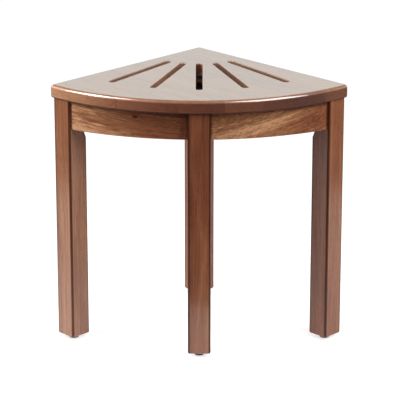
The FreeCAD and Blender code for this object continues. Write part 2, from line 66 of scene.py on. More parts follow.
class Wire:
    """An output of a node, which can be added to, multiplied, and led into other nodes."""

    def __init__(self, tree, socket=None):
        self.tree = tree
        self.socket = socket

    def make(self, kind, settings=None, values=None, output=None):
        """A new node: its settings come first, then its sockets, by name or number."""
        node = self.tree.nodes.new(kind)
        for name, value in (settings or {}).items():
            setattr(node, name, value)
        usable = [socket for socket in node.inputs if socket.enabled]
        for name, value in (values or {}).items():
            socket = usable[name] if isinstance(name, int) else next(s for s in usable if s.name == name)
            if isinstance(value, Wire):
                self.tree.links.new(value.socket, socket)
            else:
                socket.default_value = value
        shown = [socket for socket in node.outputs if socket.enabled and output in (None, socket.name)]
        return Wire(self.tree, shown[0] if shown else None)

    def other(self, name):
        """Another output of the same node."""
        return Wire(self.tree, self.socket.node.outputs[name])

    def math(self, operation, *terms):
        """A Math node on this wire and the other terms."""
        return self.make("ShaderNodeMath", {"operation": operation}, dict(enumerate((self, *terms))))

    __add__ = __radd__ = operator("ADD")
    __mul__ = __rmul__ = operator("MULTIPLY")
    __sub__, __truediv__ = operator("SUBTRACT"), operator("DIVIDE")
    __abs__, most, least = operator("ABSOLUTE"), operator("MAXIMUM"), operator("MINIMUM")

    def __rsub__(self, term):
        return self.make("ShaderNodeMath", {"operation": "SUBTRACT"}, {0: term, 1: self})

    def step(self, low, high):
        """0 below low, 1 above high, and a soft change between them."""
        return self.make("ShaderNodeMapRange", {"interpolation_type": "SMOOTHSTEP"},
                         {"Value": self, "From Min": low, "From Max": high})

    def axes(self):
        """The x, y and z of a vector."""
        x = self.make("ShaderNodeSeparateXYZ", {}, {"Vector": self})
        return x, x.other("Y"), x.other("Z")

    def measure(self, operation, vector):
        """A number from two vectors, such as their distance or dot product."""
        return self.make("ShaderNodeVectorMath", {"operation": operation}, {0: self, 1: vector}, "Value")

    def noise(self, scale, detail, roughness=0.5):
        """Noise over a place."""
        return self.make("ShaderNodeTexNoise", {}, {"Vector": self, "Scale": scale, "Detail": detail,
                                                    "Roughness": roughness})

    def ramp(self, stops, change="LINEAR"):
        """A colour for each value, from pairs of place and colour."""
        shown = self.make("ShaderNodeValToRGB", {}, {"Fac": self})
        ramp = shown.socket.node.color_ramp
        ramp.interpolation = change
        while len(ramp.elements) < len(stops):
            ramp.elements.new(1.0)
        for element, (place, colour) in zip(ramp.elements, stops):
            element.position, element.color = place, (*colour, 1.0)
        return shown

    def vector(self, *axes):
        """A vector from its x, y and z."""
        return self.make("ShaderNodeCombineXYZ", {}, dict(enumerate(axes)))

    def bump(self, strength, distance):
        """Small relief from a height."""
        return self.make("ShaderNodeBump", {}, {"Strength": strength, "Distance": distance, "Height": self})


print("wires ready")

# %% [markdown]
# ## Reading a board along its grain
# Every board of the stool is the same dark hardwood, cut in a different direction. The pattern is a
# solid one, read from Object coordinates, so a streak that leaves a face comes round the edge as in real
# timber. A Mapping node of the Texture kind turns those coordinates until x runs along the grain. `lean`
# tips the grain out of the board's own direction, and `seed` takes each board from another part of a tree.

# %% Along and across the grain
SEED_SIDE, SEED_UP = 0.31, 0.17


def object_place(tree):
    """Where a point of the surface is, in metres."""
    return Wire(tree).make("ShaderNodeTexCoord", output="Object")


def read_grain(tree, turn, centre, lean, seed):
    """Places along the grain and in the two directions across it, with and without lean and seed."""
    where = object_place(tree)
    turn = [math.radians(angle) for angle in turn]
    board = where.make("ShaderNodeMapping", {"vector_type": "TEXTURE"},
                       {"Vector": where, "Location": centre, "Rotation": turn})
    run, side, up = board.axes()
    return run, side - run * lean[0] + SEED_SIDE * seed, up - run * lean[1] + SEED_UP * seed, side, up


def cloud(run, side, up, along, across, detail=2.0, roughness=0.5):
    """Noise that is stretched along the grain, with this many spots to a metre each way."""
    return run.vector(run * along, side * across, up * across).noise(1.0, detail, roughness)


print("grain reader ready")

# %% [markdown]
# ## What makes this wood look like itself
# Close up, four things are mixed: growth bands a few millimetres wide, long fibres, fine dark pores
# like pencil strokes, and broad patches that are redder or more golden. The bands are noise over the
# distance from the pith, the heart of the tree, which lies outside the board. That gives arched
# figures where a face is cut along the rings, which stripes alone would not. The pairs below are spots
# to a metre, along the grain and across it.

# %% Bands, fibres, pores and patches
SWAY, DRIFT, SWAY_REACH = (3.0, 11.0), (2.0, 9.0), 0.016
FIBRES, PORES, PATCHES = (9.0, 420.0), (55.0, 1500.0), (3.5, 16.0)


def figure(grain, pith, bands_per_metre):
    """The four parts of the figure, each about 0 to 1."""
    run, side, up = grain[:3]
    sway = cloud(run, side, up, *SWAY, 1.0) - 0.5
    drift = cloud(run + 7.0, side, up, *DRIFT, 1.0) - 0.5
    side, up = side + sway * SWAY_REACH, up + drift * SWAY_REACH
    out, over = side - pith[0], up - pith[1]
    ring = (out * out + over * over).math("SQRT")
    bands = ring.vector(ring * bands_per_metre, run * 1.6, up * 4.0).noise(1.0, 4.0, 0.62)
    fibres = cloud(run, side, up, *FIBRES, 3.0, 0.6)
    pores = cloud(run, side, up, *PORES, 1.0).step(0.57, 0.70)
    patches = cloud(run, side, up, *PATCHES, 2.0)
    return bands, fibres, pores, patches


print("figure ready")

# %% [markdown]
# ## Stain and lacquer
# The wood is stained red-brown and sprayed with satin lacquer. The stain shows lighter and more golden
# on the fast-grown bands, and end grain drinks more of it, so those faces are darker: the seat's curved
# edge goes from light to dark as it turns across the grain. The mask for that is the normal's share
# along the grain. The lacquer is the Principled shader's coat. It mirrors a pale room at a flat angle,
# which is what makes the top of the seat look almost grey.

# %% Stain colours
DEEP_STAIN = (0.075, 0.020, 0.009)
RED_STAIN = (0.210, 0.062, 0.027)
BROWN_STAIN = (0.320, 0.112, 0.050)
GOLD_STAIN = (0.470, 0.210, 0.098)
PALE_STAIN = (0.800, 0.415, 0.220)
WOOD_STOPS = [(0.08, DEEP_STAIN), (0.34, RED_STAIN), (0.54, BROWN_STAIN), (0.76, GOLD_STAIN),
              (1.0, PALE_STAIN)]
PORE_COLOUR = (0.055, 0.018, 0.010, 1.0)
DARK_EDGE = (0.28, 0.20, 0.18, 1.0)
END_GRAIN_SHADE = 0.55
GRAIN_BUMP, GRAIN_DEPTH = 0.22, 0.0003


def tint(base, share, colour, blend="MIX"):
    """A colour mixed over another by a share."""
    return share.make("ShaderNodeMix", {"data_type": "RGBA", "blend_type": blend, "clamp_factor": True},
                      {"Factor": share, "A": base, "B": colour})


def end_grain(tree, turn):
    """1 where a face cuts straight across the turned grain, 0 where it runs along it."""
    normal = Wire(tree).make("ShaderNodeNewGeometry", output="Normal")
    along = Euler([math.radians(angle) for angle in turn]).to_matrix().col[0]
    return abs(normal.measure("DOT_PRODUCT", along))


def new_material(name):
    """An empty material, and its tree."""
    material = bpy.data.materials.new(name)
    material.use_nodes = True
    material.node_tree.nodes.clear()
    return material, material.node_tree


def finished(material, values):
    """The material, with a Principled shader that takes these values."""
    shader = Wire(material.node_tree).make("ShaderNodeBsdfPrincipled", {}, values)
    shader.make("ShaderNodeOutputMaterial", {}, {"Surface": shader})
    return material


print("stain from", RED_STAIN, "to", GOLD_STAIN)


# %% Stained and lacquered timber
PLAIN_BOARD = {"lift": 0.0, "layers": [], "end_shade_off": 0.0, "shade": 0.0, "coat": 1.0, "dull": 0.0}


def timber(name, turn, seed, pith, centre=(0, 0, 0), lean=(0.0, 0.0), bands_per_metre=95.0,
           stripes=0.9, tone=0.0, marks=None, coat=0.6, coat_ior=1.5, coat_roughness=0.16, under_coat=0.22):
    """A wood material. marks gives what a board has of its own, instead of a plain board's values."""
    material, tree = new_material(name)
    grain = read_grain(tree, turn, centre, lean, seed)
    own = {**PLAIN_BOARD, **(marks(grain) if marks else {})}
    light = 0.5 + tone
    if "shift" in own:
        grain = (grain[0] + own["shift"] * 3.1, grain[1] + own["shift"] * 0.9, *grain[2:])
        light = light + (own["shift"] - 0.5) * 0.34
    bands, fibres, pores, patches = figure(grain, pith, bands_per_metre)
    light = light + own["lift"] + (bands - 0.5) * (1.9 * stripes) + (fibres - 0.5) * (0.35 + 0.45 * stripes)
    light = light + (patches - 0.5) * (0.3 + 0.4 * stripes)
    stain = light.ramp(WOOD_STOPS)
    stain = tint(stain, pores * (0.3 + 0.3 * stripes), PORE_COLOUR)
    for layer in own["layers"]:
        stain = tint(stain, *layer)
    darkness = end_grain(tree, turn).step(0.25, 1.0) * END_GRAIN_SHADE * (1.0 - own["end_shade_off"])
    stain = tint(stain, darkness.most(own["shade"]), DARK_EDGE, "MULTIPLY")
    return finished(material, {
        "Base Color": stain, "Coat Weight": own["coat"] * (coat * (1.0 - own["shade"] * 0.85)),
        "Roughness": 0.40 + (fibres - 0.5) * 0.22 + pores * 0.14 + own["dull"] * 0.5,
        "Normal": (fibres * 0.35 - pores * 0.65).bump(GRAIN_BUMP, GRAIN_DEPTH),
        "Specular IOR Level": under_coat, "Coat Roughness": coat_roughness, "Coat IOR": coat_ior, "IOR": 1.5})


def dress(material, *nodes):
    """The slots of CAD nodes take the material; the nodes themselves are left alone."""
    for node in nodes:
        slots = stool[node].data.materials
        for number in range(len(slots)):
            slots[number] = material


print("timber ready")

# %% [markdown]
# ## The seat: one panel of glued staves
# The seat is a quarter of a round cut from a panel of edge-glued staves. Their grain runs along one of
# the straight sides, at 45 degrees to the front, and on the front edge a joint shows where a darker
# stave meets a lighter one. A ramp with constant steps over the place across the grain gives each
# stave its own tone, and the same value moves the noise, so no streak crosses a joint. The edge takes
# the stain less evenly than the top, with a darker bay on the right. A lighter copper line where it
# rounds over to the top is a painted highlight, and the paler, greyer slot walls are painted light
# and a painted reflection. The lacquer is thick on the top, where it deepens the stain, and in the
# slots, thin on the outer edge and missing below, where the lower rounding carries a painted shadow.
# All this follows from how far the surface looks up.

# %% Seat staves
STAVE_TURN = (0, 0, -45)
STAVE_JOINTS = [-0.209, -0.153, -0.0964, -0.041, 0.017, 0.074]
STAVE_TONES = [0.49, 0.45, 0.41, 0.57, 0.52, 0.49, 0.58]
PANEL_LOW, PANEL_HIGH = -0.24, 0.14
# The first colour deepens the top under its thick lacquer; the second greys the slot walls: a painted reflection.
DEEP_LACQUER, PAINTED_WALL_REFLECTION = (0.82, 1.0, 0.62, 1.0), (0.185, 0.147, 0.117, 1.0)
BACK_CORNER, SLOTS_END = (0, 0.186, 0.46), 0.33


def staves(grain):
    """A value for each stave, a thin dark line at each glue joint, a finish that thins downwards, and painted
    light, highlight and shadow on the edge.
    """
    across = grain[3]
    share = (across - PANEL_LOW) / (PANEL_HIGH - PANEL_LOW)
    starts = [0.0] + [(joint - PANEL_LOW) / (PANEL_HIGH - PANEL_LOW) for joint in STAVE_JOINTS]
    stops = [(start, (tone, tone, tone)) for start, tone in zip(starts, STAVE_TONES)]
    ramp = share.ramp(stops, "CONSTANT")
    value = ramp.make("ShaderNodeSeparateColor", {}, {"Color": ramp})
    line = reduce(Wire.most, [abs(across - joint).step(0.00045, 0.0001) * 0.5 for joint in STAVE_JOINTS])
    facing, _, upwards = line.make("ShaderNodeNewGeometry", output="Normal").axes()
    where = object_place(line.tree)
    reach = where.measure("DISTANCE", BACK_CORNER).step(SLOTS_END + 0.01, SLOTS_END)
    slots = reach * abs(where.axes()[0]).step(0.01, 0.02) * upwards.step(-0.8, -0.4)
    # Where under meets the flat bottom, the lower rounding is darkened below: a painted shadow under the seat's
    # edge.
    under, edge = upwards.step(-0.02, -0.25), upwards.step(0.9, 0.4)
    # A lighter line along the upper rounding: a painted highlight.
    painted_highlight_line = upwards.step(0.10, 0.45) * upwards.step(0.985, 0.92)
    along = end_grain(line.tree, STAVE_TURN).step(0.60, 0.0) * (1.0 - slots)
    dark_bay = across.step(-0.060, 0.010) * across.step(0.110, 0.045) * (1.0 - slots)
    # Slot walls that face +x are made lighter: painted light.
    painted_light_wall = facing.step(0.86, 0.93) * slots
    # The edge tone also lightens every slot wall: painted light.
    edge_tone_and_light = (value - 0.5) * 0.6 + along * 0.36 - dark_bay * 0.17 + slots * 0.10 + painted_light_wall * 0.16
    layers = [(slots * edge * 0.45, PAINTED_WALL_REFLECTION), (upwards.step(0.95, 0.995), DEEP_LACQUER, "MULTIPLY")]
    # lift adds the painted highlight and the painted light in the slots; switching the end grain shade off in the
    # slots is painted light too.
    return {"shift": value, "lift": edge * edge_tone_and_light + painted_highlight_line * 0.24, "layers": layers,
            "coat": upwards.step(-0.10, 0.78).most(slots * 0.8), "dull": under, "end_shade_off": slots,
            # shade: the glue lines, and a painted shadow on the lower rounding.
            "shade": line.most(under * upwards.step(-1.0, -0.9) * 0.85)}


seat_wood = timber("seat wood", STAVE_TURN, 1.0, (0.02, 0.30), lean=(0.03, 0.01),
                   bands_per_metre=80.0, stripes=0.14, tone=-0.06, marks=staves, coat=1.0, coat_ior=2.3,
                   coat_roughness=0.07, under_coat=0.9)
print("seat of", len(STAVE_TONES), "staves")

# %% [markdown]
# ## The curved aprons: the liveliest grain
# The two aprons under the arc are sawn to a curve from thick planks, so the saw cuts through several
# growth bands and the face shows long streaks. The left one has a small dark knot near its upper edge,
# and its left end is pale and wavy along the bottom. On the right one the grain leans, so a golden
# streak with fine flecks climbs towards the right leg, its sheen painted into the colour. Painted shade
# darkens the aprons under the seat and beside the legs. An image could be painted with all this, but
# it would stop at the edges. Sums over the place in the wood go round them. Each apron has its own
# material, turned to its own chord.

# %% Apron marks
KNOT_PLACE, KNOT_SIZE = (-0.110, 0.4325), (0.0050, 0.0025)
PALE_LINE, PALE_SLOPE, WAVES = 0.390, 0.20, (45.0, 240.0)
RIGHT_APRON_SEED, GOLDEN_HEIGHT, FLECKS = 3.3, 0.403, (120.0, 340.0)
SIDE_LEG_REACH, SLANT = 0.10628, math.sqrt(0.5)


def painted_joint_shade(where, side):
    """Painted shade where an apron meets the front leg, the side leg and the seat."""
    x, _, z = where.axes()
    reach = where.measure("DOT_PRODUCT", (-side * SLANT, -SLANT, 0.0)) + SIDE_LEG_REACH
    # Darker beside the legs and under the seat: painted shade.
    ends = abs(x).step(0.0225, 0.0205).most(reach.step(0.0240, 0.0212))
    return ends.most(z.step(0.4370, 0.4465) * 0.65)


def left_apron_marks(grain):
    """A small dark knot, and a streaky left end that is pale below a sloping wavy line."""
    run, where = grain[0], object_place(grain[0].tree)
    x, _, z = where.axes()
    across, above = (x - KNOT_PLACE[0]) / KNOT_SIZE[0], (z - KNOT_PLACE[1]) / KNOT_SIZE[1]
    knot = (across * across + above * above).step(1.6, 0.4)
    waves = cloud(*grain[:3], *WAVES, 3.0) - 0.5
    pale = (PALE_LINE - z - run * PALE_SLOPE + waves * 0.022).step(-0.0015, 0.0025)
    streaks = waves * run.step(-0.03, -0.13)
    return {"shade": painted_joint_shade(where, -1).most(knot),
            "lift": run.step(0.00, -0.14) * 0.24 + pale * 0.19 + streaks * 0.75 - 0.035}


def right_apron_marks(grain):
    """A golden streak that climbs across the board, wood figure with a painted sheen, fine flecks, and a darker
    right end.
    """
    run, height = grain[0], grain[2] - SEED_UP * RIGHT_APRON_SEED
    # The golden streak is figure and a painted sheen together.
    golden_sheen_streak = abs(height - GOLDEN_HEIGHT).step(0.017, 0.001) * run.step(0.19, 0.09)
    flecks = cloud(*grain[:3], *FLECKS, 2.0) - 0.5
    return {"shade": painted_joint_shade(object_place(run.tree), 1),
            "lift": golden_sheen_streak * 0.22 + flecks * 0.58 - run.step(0.06, 0.14) * 0.22 + 0.03}


print("knot at", KNOT_PLACE)

# %% Aprons and rails
CHORD_ANGLE = 20.0
dress(timber("left apron wood", (0, 0, -CHORD_ANGLE), 2.0, (0.42, 1.11),
             lean=(0.0, -0.08), bands_per_metre=170.0, stripes=0.62, tone=0.04, marks=left_apron_marks,
             coat=0.5), "front_left_apron")
dress(timber("right apron wood", (0, 0, CHORD_ANGLE), RIGHT_APRON_SEED, (0.80, 1.38),
             lean=(0.0, 0.26), bands_per_metre=150.0, stripes=0.42, tone=0.16, marks=right_apron_marks,
             coat=0.5), "front_right_apron")
dress(timber("left rail wood", (0, 0, 45), 4.6, (0.09, 0.30)), "back_left_rail")
dress(timber("right rail wood", (0, 0, -45), 5.9, (-0.08, 0.31)), "back_right_rail")
print("aprons and rails dressed")

# %% [markdown]
# ## The legs: upright grain and darker arrises
# The legs are square posts with upright grain and a quiet figure. Their rounded long edges, the
# arrises, are darker than the faces and carry less lacquer. The mask needs no painting. In a leg's own
# coordinates both distances from its middle are large only near an arris, so the smaller of the two is
# enough. The right leg's front left face is darkened, a painted shadow of the seat. Towards the foot
# the outer faces are painted lighter, as bounce light from the pale sheet, or darker, as painted shade,
# and on some legs the lacquer has run down there and is thicker.

# %% Legs
HALF_LEG, ARRIS_START, ARRIS_FULL = 0.020, 0.0045, 0.0024
FOOT_START, FOOT_FULL = 0.24, 0.04
FRONT_LEFT, FRONT_RIGHT = (0, 0, 45), (0, 0, -45)
# turn, seed, tone, painted shade on the front left face, painted light at the foot of the outer face (below 0 it
# is painted shade), lacquer at the foot
LEGS = {"left_leg": (45, 6.2, 0.09, 0.00, 0.08, 0.6), "right_leg": (45, 7.9, 0.14, -0.22, -0.14, 0.0),
        "back_leg": (45, 8.4, 0.05, 0.0, 0.0, 0.0), "front_leg": (0, 9.7, -0.04, 0.0, -0.02, 0.6)}


def middle_of(node):
    """The middle of a CAD node on the floor plan."""
    points = np.array([tuple(vertex.co) for vertex in stool[node].data.vertices])
    return [float(value) for value in (points.max(0) + points.min(0))[:2] / 2]


def leg_marks(painted_left_shade, painted_foot_light, foot_coat):
    """Dark arrises, painted shade on the front left face, and painted light or shade at the foot of the outer
    face, by the sign of its value.
    """
    def marks_of(grain):
        # The arrises are darkened in colour.
        corner = abs(grain[3]).least(abs(grain[4]))
        left = end_grain(corner.tree, FRONT_LEFT).step(0.5, 0.9)
        outer = end_grain(corner.tree, FRONT_RIGHT).step(0.5, 0.9) if painted_foot_light < 0 else left
        foot = grain[0].step(FOOT_START, FOOT_FULL)
        # lift: painted shade on the front left face, and painted light or shade at the foot by its sign.
        return {"shade": corner.step(HALF_LEG - ARRIS_START, HALF_LEG - ARRIS_FULL),
                "coat": foot * foot_coat + 1.0, "lift": left * painted_left_shade + outer * foot * painted_foot_light}
    return marks_of


for leg, (turn, seed, tone, *own_tones) in LEGS.items():
    dress(timber(leg.replace("_", " ") + " wood", (0, -90, turn), seed, (0.05, 0.06),
                 centre=(*middle_of(leg), 0), lean=(0.012, -0.008), bands_per_metre=70.0, stripes=0.38,
                 tone=tone, marks=leg_marks(*own_tones)), leg)
print(len(LEGS), "legs dressed")

# %% [markdown]
# ## The blocks: sawn and left bare
# Behind each leg a block takes the bolts. Nobody sees it from above, so it is left as it came from the
# saw: no lacquer, and fine ridges across the grain. A sine along the grain, pushed about by the patches,
# gives the saw's marks in the bump.

# %% Corner blocks
BARE_STOPS = [(0.1, (0.10, 0.048, 0.024)), (0.5, (0.19, 0.098, 0.050)), (0.9, (0.30, 0.175, 0.095))]
BARE_PORES, BARE_END = (0.06, 0.03, 0.016, 1.0), (0.35, 0.27, 0.22, 1.0)
SAW_TEETH = 2600.0


def sawn_block(name, turn, seed):
    """Bare wood with the marks of a saw."""
    material, tree = new_material(name)
    grain = read_grain(tree, turn, (0, 0, 0), (0.02, 0.0), seed)
    bands, fibres, pores, patches = figure(grain, (0.08, 0.33), 85.0)
    light = (bands - 0.5) * 1.1 + (fibres - 0.5) * 0.6 + (patches - 0.5) * 0.5 + 0.62
    bare = light.ramp(BARE_STOPS)
    bare = tint(bare, pores * 0.4, BARE_PORES)
    bare = tint(bare, end_grain(tree, turn).step(0.3, 1.0) * 0.35, BARE_END, "MULTIPLY")
    teeth = (grain[0] * SAW_TEETH + patches * 5.0).math("SINE")
    height = teeth * 0.4 + fibres * 0.8 - pores * 0.6
    return finished(material, {"Base Color": bare, "Roughness": 0.72 + (fibres - 0.5) * 0.3,
                               "Normal": height.bump(0.35, 0.0004), "IOR": 1.45})


dress(sawn_block("side block wood", (0, 0, 90), 11.0), "left_corner_block", "right_corner_block")
dress(sawn_block("middle block wood", (0, 0, 0), 12.4), "back_corner_block", "front_brace_block")
print("four blocks dressed")

# %% [markdown]
# ## Plated steel, brass and black plastic
# The hardware is black zinc plate, yellow passivated screws, turned brass inserts and moulded feet.
# Plating is never quite even, so a noise moves its roughness and colour, and a much finer one roughens
# it a little in the bump. The plastic has the fine matt grain of a spark-eroded mould, with some dust.

# %% Metals and plastic
CORNERS = ("left", "right", "back", "front")
DUST_COLOUR = (0.060, 0.058, 0.056, 1.0)


def plated(name, colour, dull_colour, roughness, spread):
    """Plated or turned metal with uneven gloss."""
    material, tree = new_material(name)
    where = object_place(tree)
    bloom = where.noise(260.0, 3.0)
    return finished(material, {
        "Base Color": tint((*colour, 1.0), bloom.step(0.35, 0.68), (*dull_colour, 1.0)), "Metallic": 1.0,
        "Roughness": roughness + (bloom - 0.5) * spread, "Normal": where.noise(2600.0, 2.0).bump(0.12, 0.0001)})


def moulded(name, colour):
    """Matt moulded plastic with a fine grain."""
    material, tree = new_material(name)
    where = object_place(tree)
    dust = where.noise(150.0, 3.0)
    return finished(material, {
        "Base Color": tint((*colour, 1.0), dust.step(0.45, 0.8) * 0.5, DUST_COLOUR), "IOR": 1.5,
        "Roughness": 0.46 + (dust - 0.5) * 0.25, "Normal": where.noise(3200.0, 2.0).bump(0.25, 0.0001)})


zinc_plate = plated("black zinc plate", (0.038, 0.038, 0.040), (0.020, 0.020, 0.022), 0.45, 0.30)
yellow_plate = plated("yellow plate", (0.62, 0.50, 0.24), (0.50, 0.42, 0.30), 0.32, 0.25)
turned_brass = plated("turned brass", (0.70, 0.50, 0.21), (0.52, 0.35, 0.14), 0.28, 0.20)
foot_plastic = moulded("foot plastic", (0.020, 0.020, 0.021))
dress(zinc_plate, "hanger_washers")
dress(turned_brass, *[corner + "_foot_insert" for corner in CORNERS])
print("metals and plastic ready")

# %% [markdown]
# ## Threads from one rule
# The feet and the bolts are M8, and the CAD model has them as plain rods. A thread follows a rule: go
# once round, and climb by one pitch. So a flat grid is rolled up in Geometry Nodes, and the radius of
# each point follows from its height and its angle. Sweeping a triangle along a spiral would also work,
# but it leaves the core open. The rows at both ends close on the axis, and merging by distance closes
# the seam.


# %% The thread rule
def new_tree(name, inputs):
    """A Geometry Nodes tree with a wire from each of its named inputs."""
    tree = bpy.data.node_groups.new(name, "GeometryNodeTree")
    for label, kind in inputs.items():
        tree.interface.new_socket(label, in_out="INPUT", socket_type="NodeSocket" + kind)
    group = tree.nodes.new("NodeGroupInput")
    return [Wire(tree, group.outputs[label]) for label in inputs]


def end_tree(shape):
    """The tree's last steps: real geometry, and the way out."""
    tree = shape.tree
    tree.interface.new_socket("Geometry", in_out="OUTPUT", socket_type="NodeSocketGeometry")
    shape = shape.make("GeometryNodeRealizeInstances", {}, {"Geometry": shape})
    shape.make("NodeGroupOutput", {}, {"Geometry": shape})
    return tree


def thread_tree():
    """A threaded rod from z = 0 upwards."""
    radius, depth, pitch, length, taper, rows, sides = new_tree("threaded rod", {
        "Radius": "Float", "Depth": "Float", "Pitch": "Float", "Length": "Float", "Taper": "Float",
        "Rows": "Int", "Sides": "Int"})
    sheet = rows.make("GeometryNodeMeshGrid", {}, {"Size X": 1.0, "Size Y": 1.0, "Vertices X": sides + 1,
                                                  "Vertices Y": rows}, "Mesh")
    across, up, _ = sheet.make("GeometryNodeInputPosition").axes()
    round_share = across + 0.5
    row = ((up + 0.5) * (rows - 1)).math("ROUND")
    height = row.make("ShaderNodeMapRange", {}, {"Value": row, "From Min": 1.0, "From Max": rows - 2,
                                                "To Min": 0.0, "To Max": length})
    phase = (height / pitch - round_share).math("FRACT")
    groove = (abs(phase - 0.5) * 2.0).step(0.15, 0.92)
    limit = radius - depth - taper + height.least(length - height) * 1.2
    inside = row.math("GREATER_THAN", 0.5) * row.math("LESS_THAN", rows - 1.5)
    size = (radius - depth * groove).least(limit) * inside
    turn = round_share * math.tau
    place = size.vector(size * turn.math("COSINE"), size * turn.math("SINE"), height)
    rod = sheet.make("GeometryNodeSetPosition", {}, {"Geometry": sheet, "Position": place})
    rod = rod.make("GeometryNodeMergeByDistance", {}, {"Geometry": rod, "Distance": 1e-6})
    return end_tree(rod)


THREAD = thread_tree()
print("thread rule:", len(THREAD.nodes), "nodes")

# %% [markdown]
# ## From a tree to a plain mesh
# A Geometry Nodes modifier gives its shape only when it is evaluated. We set its inputs by their
# identifiers, let Blender work it out once, keep the result as a plain mesh and drop the helper. The
# finished piece then sits at the origin with its place in its own points, like the CAD nodes do.


# %% Work a tree out
def add_object(name, data):
    """A new object in the scene."""
    thing = bpy.data.objects.new(name, data)
    scene.collection.objects.link(thing)
    return thing


def worked_out(thing):
    """The mesh that an object's modifiers give. The object itself is dropped."""
    bpy.context.view_layer.update()
    mesh = bpy.data.meshes.new_from_object(thing.evaluated_get(bpy.context.evaluated_depsgraph_get()))
    bpy.data.objects.remove(thing)
    return mesh


def grown(tree, values, start=None):
    """The mesh that a tree gives for these inputs."""
    helper = add_object("helper", start or bpy.data.meshes.new("start"))
    modifier = helper.modifiers.new("tree", "NODES")
    modifier.node_group = tree
    for item in tree.interface.items_tree:
        if item.in_out == "INPUT" and item.name in values:
            modifier[item.identifier] = values[item.name]
    return worked_out(helper)


print("trees can be worked out")


# %% Turn, join and add pieces
def mesh_from(shape, name):
    """A bmesh with outward faces, as a plain mesh."""
    bmesh.ops.recalc_face_normals(shape, faces=shape.faces)
    mesh = bpy.data.meshes.new(name)
    shape.to_mesh(mesh)
    shape.free()
    return mesh


def on_circle(radius, angle, height):
    return radius * math.cos(angle), radius * math.sin(angle), height


def lathe(profile, sides):
    """A closed turned shape from pairs of radius and height."""
    shape = bmesh.new()
    rings = []
    for radius, height in profile:
        count = sides if radius > 0 else 1
        rings.append([shape.verts.new(on_circle(radius, math.tau * k / count, height)) for k in range(count)])
    for low, high in zip(rings, rings[1:]):
        for k in range(sides):
            corners = [low[k % len(low)], low[(k + 1) % len(low)], high[(k + 1) % len(high)], high[k % len(high)]]
            unique = list(dict.fromkeys(corners))
            if len(unique) > 2:
                shape.faces.new(unique)
    return mesh_from(shape, "turned")


def joined(parts, material, spot=(0, 0)):
    """Meshes, each at its own height over a spot of the floor plan, as one mesh."""
    shape = bmesh.new()
    for mesh, height in parts:
        piece = mesh.copy()
        piece.transform(Matrix.Translation((*spot, height)))
        shape.from_mesh(piece)
        bpy.data.meshes.remove(piece)
    bmesh.ops.remove_doubles(shape, verts=shape.verts, dist=1e-7)
    mesh = mesh_from(shape, "joined")
    mesh.materials.clear()
    mesh.materials.append(material)
    return mesh


def add_piece(name, mesh, body, slot, *nodes, smooth=35):
    """A finished piece that rides on a body and stands for CAD nodes."""
    piece = add_object(name, mesh)
    mesh.name = name
    for polygon in mesh.polygons:
        polygon.material_index = 0
        polygon.use_smooth = True
    mesh.set_sharp_from_angle(angle=math.radians(smooth))
    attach(piece, body)
    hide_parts(*nodes)
    print(name, "on", body, "with", len(mesh.polygons), "faces")


print("workshop ready")

# %% [markdown]
# ## The seat panel, lofted for its highlight
# The seat's upper edge is rounded, and a softbox draws a long white line on it. A CAD mesh has triangles
# of uneven size there, and such a line shows every one of them. So the panel is lofted again with the
# CAD model's sizes. Each outline, the quarter round and the five slots, is a row of points with outward
# directions. A rounded edge is that row moved inwards and upwards along a quarter circle, step by step,
# and the flat top and bottom are filled between the rows. The directions also serve as exact normals.

# %% Outlines of the panel
SEAT_RADIUS, CORNER_RADIUS, SEAT_BOTTOM, SEAT_TOP = 0.368, 0.008, 0.447, 0.470
SEAT_ROUNDING, SLOT_ROUNDING, MESH_SAG = (0.003, 0.006), (0.0015, 0.0015), 0.00003
SLOT_HALF, SLOT_NEAR, SLOT_FAR, SLOT_PITCH, FAN_SETBACK = 0.00575, 0.09575, 0.25725, 18, 0.032
APEX = np.array([0.0, (SEAT_RADIUS + CORNER_RADIUS * (math.sqrt(2) - 1)) / 2])


def heading(degrees):
    return np.array([math.cos(math.radians(degrees)), math.sin(math.radians(degrees))])


def arc(centre, radius, start, end, steps, outward=1):
    """Points along an arc, each with the direction that looks out of the wood."""
    ways = [heading(angle) for angle in np.linspace(start, end, steps + 1)]
    return [(centre + radius * way, outward * way) for way in ways]


def seat_outline():
    """The quarter round with its three rounded corners, anticlockwise."""
    reach = SEAT_RADIUS - CORNER_RADIUS
    turn = math.degrees(math.asin(CORNER_RADIUS / reach))
    left, right = 225 + turn, 315 - turn
    back = APEX + heading(270) * CORNER_RADIUS * math.sqrt(2)
    return (arc(back, CORNER_RADIUS, 45, 135, 12)
            + arc(APEX + heading(left) * reach, CORNER_RADIUS, 135, left, 12)
            + arc(APEX, SEAT_RADIUS, left, right, 120)[1:-1]
            + arc(APEX + heading(right) * reach, CORNER_RADIUS, right, 405, 12))


def slot_outline(number):
    """One slot of the fan, clockwise, because its wood is outside."""
    way = 270 + SLOT_PITCH * number
    fan = APEX + heading(270) * FAN_SETBACK
    return (arc(fan + heading(way) * SLOT_FAR, SLOT_HALF, way + 90, way - 90, 14, -1)
            + arc(fan + heading(way) * SLOT_NEAR, SLOT_HALF, way - 90, way - 270, 14, -1))


outlines = [(seat_outline(), SEAT_ROUNDING)] + [(slot_outline(number), SLOT_ROUNDING) for number in range(-2, 3)]
print(len(outlines), "outlines,", len(outlines[0][0]), "points round the seat")


# %% Loft the panel
def edge_steps(lower, upper, count=8):
    """How far in, how high, and how the surface tilts, from the flat bottom round to the flat top."""
    steps = [(math.cos(turn), math.sin(turn)) for turn in np.linspace(0, math.pi / 2, count + 1)]
    below = [(lower * (1 - sine), SEAT_BOTTOM + lower * (1 - cosine), sine, -cosine) for cosine, sine in steps]
    above = [(upper * (1 - cosine), SEAT_TOP - upper * (1 - sine), cosine, sine) for cosine, sine in steps]
    return below + above


